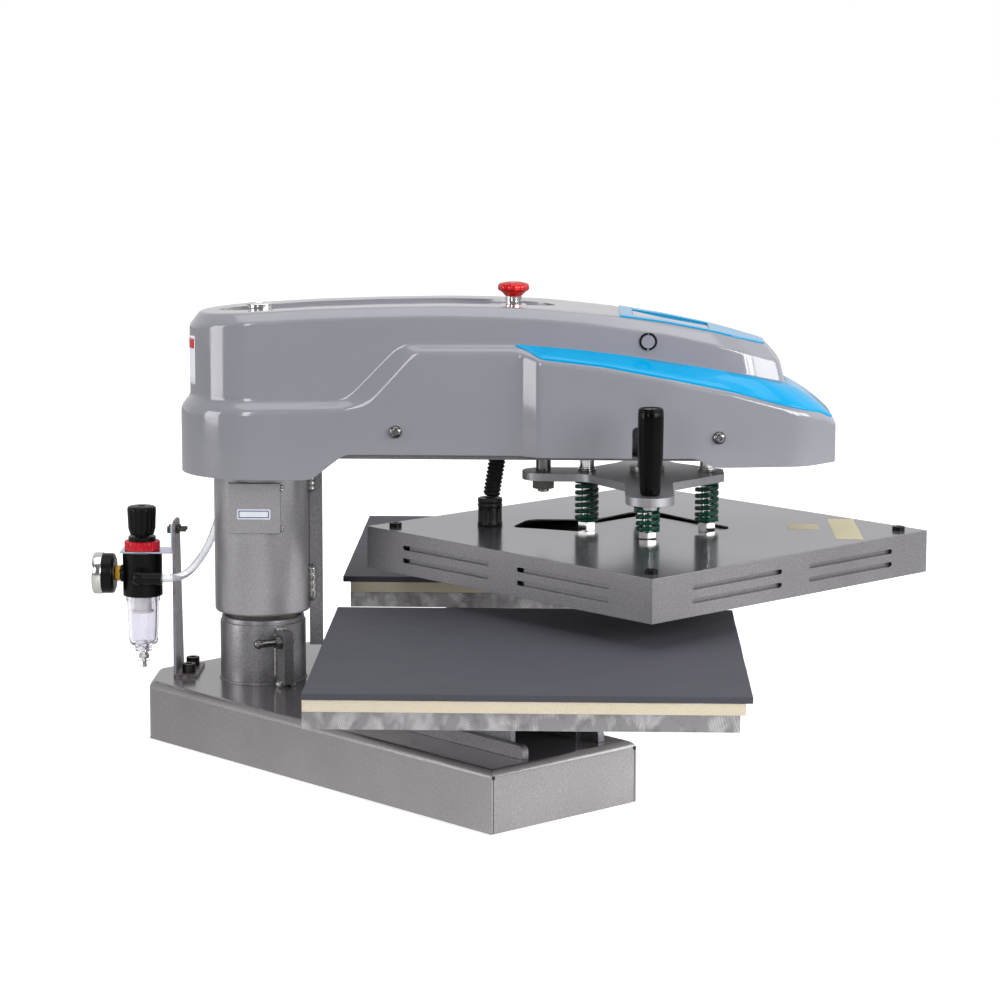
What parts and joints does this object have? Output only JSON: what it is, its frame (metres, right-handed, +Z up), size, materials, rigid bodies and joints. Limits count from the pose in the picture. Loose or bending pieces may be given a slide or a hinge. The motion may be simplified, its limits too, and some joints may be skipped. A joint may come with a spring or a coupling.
{
  "type": "heat press",
  "caption": "Pneumatic swing-away heat press: a covered arm on a round column carries a sprung square heat platen over square lower platens on a V-shaped base.",
  "frame": {"origin": "on the floor under the swing column, on the bottom plate's face", "axes": "+Z up along the column, +X out along the arm at rest, midway between the two stations, -Y towards the front station"},
  "size_m": [0.8669, 0.97, 0.475],
  "materials": {
    "hammer_paint": "silver-grey hammertone powder coat",
    "steel": "plain machined steel",
    "dark_steel": "blackened steel",
    "chrome": "bright plating",
    "aluminium": "swirl-marked milled aluminium",
    "foam": "cream silicone foam",
    "rubber": "dark grey silicone sheet",
    "black_plastic": "fine satin",
    "red_plastic": "gloss",
    "clear_plastic": "clear",
    "white_plastic": "matt",
    "brass": "plain",
    "cover_grey": "glossy paint",
    "cyan": "glossy paint",
    "screen": "gloss",
    "red_metal": "red anodised",
    "spring_green": "gloss enamel",
    "insulation": "blackened mineral fibre",
    "bronze": "oiled bronze",
    "platen_metal": "satin silver-grey paint",
    "board_green": "matt"
  },
  "bodies": {
    "base": {"base_frame": "hammer_paint", "bottom_plate": "hammer_paint", "post_base_tube": "hammer_paint", "inner_post": "steel", "stop_lugs": "hammer_paint", "stop_screws": "chrome", "platen_supports": "hammer_paint", "lower_plates": "aluminium", "platen_foams": "foam", "rubber_pads": "rubber", "regulator_bracket": "dark_steel", "bracket_screws": "dark_steel", "regulator_clip": "chrome", "regulator_body": "black_plastic", "lock_ring": "red_plastic", "filter_bowl": "clear_plastic", "filter_element": "white_plastic", "gauge_case": "dark_steel", "gauge_dial": "white_plastic", "gauge_lens": "clear_plastic", "gauge_fitting": "brass", "elbow_fitting": "black_plastic", "air_hose": "clear_plastic", "hose_swivel": "steel"},
    "arm": {"column_sleeve": "hammer_paint", "column_bearings": "bronze", "stop_bar": "hammer_paint", "sleeve_patch": "hammer_paint", "arm_frame": "dark_steel", "arm_cover": "cover_grey", "side_trim": "cyan", "control_panel": "cyan", "display_window": "screen", "cover_screws": "chrome", "column_cap": "chrome", "button_collars": "chrome", "air_cylinder": "aluminium", "solenoid_valve": "black_plastic", "controller_box": "board_green"},
    "spider": {"spider_plate": "aluminium", "piston_rod": "steel", "guide_rod": "chrome", "handle_bolt": "steel"},
    "heat_platen": {"platen_cover": "platen_metal", "heating_plate": "aluminium", "insulation_board": "insulation", "spring_plate": "platen_metal", "spring_posts": "chrome", "die_springs": "spring_green", "corner_bolts": "dark_steel", "conduit": "black_plastic", "conduit_connector": "black_plastic"},
    "stop_knob": {"stop_knob": "red_metal"},
    "start_button_front": {"start_button_front": "cover_grey"},
    "start_button_rear": {"start_button_rear": "cover_grey"},
    "handle": {"handle_grip": "black_plastic"},
    "regulator_stem": {"regulator_stem": "black_plastic"},
    "regulator_knob": {"regulator_knob": "black_plastic"},
    "gauge_needle": {"gauge_needle": "red_plastic"},
    "drain_valve": {"drain_valve": "chrome"}
  },
  "joints": [
    {"name": "arm_swing", "type": "hinge", "parent": "base", "child": "arm", "pos_m": [0, 0, 0.25], "axis": [0, 0, 1], "range_deg": [-45, 45]},
    {"name": "press_stroke", "type": "slide", "parent": "arm", "child": "spider", "axis": [0, 0, -1], "range_m": [0, 0.023], "stiffness_N_per_m": 3000, "springref_m": -0.07},
    {"name": "platen_float", "type": "slide", "parent": "spider", "child": "heat_platen", "axis": [0, 0, 1], "range_m": [0, 0.006], "stiffness_N_per_m": 20000, "springref_m": -0.002, "deforming": ["die_springs"]},
    {"name": "handle_spin", "type": "hinge", "parent": "spider", "child": "handle", "pos_m": [0.399, -0.162, 0.32], "axis": [0, 0, 1], "continuous": true},
    {"name": "stop_knob_push", "type": "slide", "parent": "arm", "child": "stop_knob", "axis": [0, 0, -1], "range_m": [0, 0.005], "stiffness_N_per_m": 800, "springref_m": -0.004},
    {"name": "start_front_push", "type": "slide", "parent": "arm", "child": "start_button_front", "axis": [0, 1, 0], "range_m": [0, 0.0025], "stiffness_N_per_m": 400, "springref_m": -0.002},
    {"name": "start_rear_push", "type": "slide", "parent": "arm", "child": "start_button_rear", "axis": [0, -1, 0], "range_m": [0, 0.0025], "stiffness_N_per_m": 400, "springref_m": -0.002},
    {"name": "regulator_turn", "type": "hinge", "parent": "base", "child": "regulator_stem", "pos_m": [-0.127, 0.01, 0.2], "axis": [0, 0, -1], "range_deg": [-900, 900]},
    {"name": "regulator_lift", "type": "slide", "parent": "regulator_stem", "child": "regulator_knob", "axis": [0, 0, 1], "range_m": [0, 0.003]},
    {"name": "gauge_turn", "type": "hinge", "parent": "base", "child": "gauge_needle", "pos_m": [-0.175, 0.01, 0.1665], "axis": [1, 0, 0], "range_deg": [-135, 135]},
    {"name": "drain_push", "type": "slide", "parent": "base", "child": "drain_valve", "axis": [0, 0, 1], "range_m": [0, 0.002], "stiffness_N_per_m": 400, "springref_m": -0.002}
  ],
  "couplings": [
    {"joint": "gauge_turn", "follows": "regulator_turn", "ratio": 0.15}
  ]
}
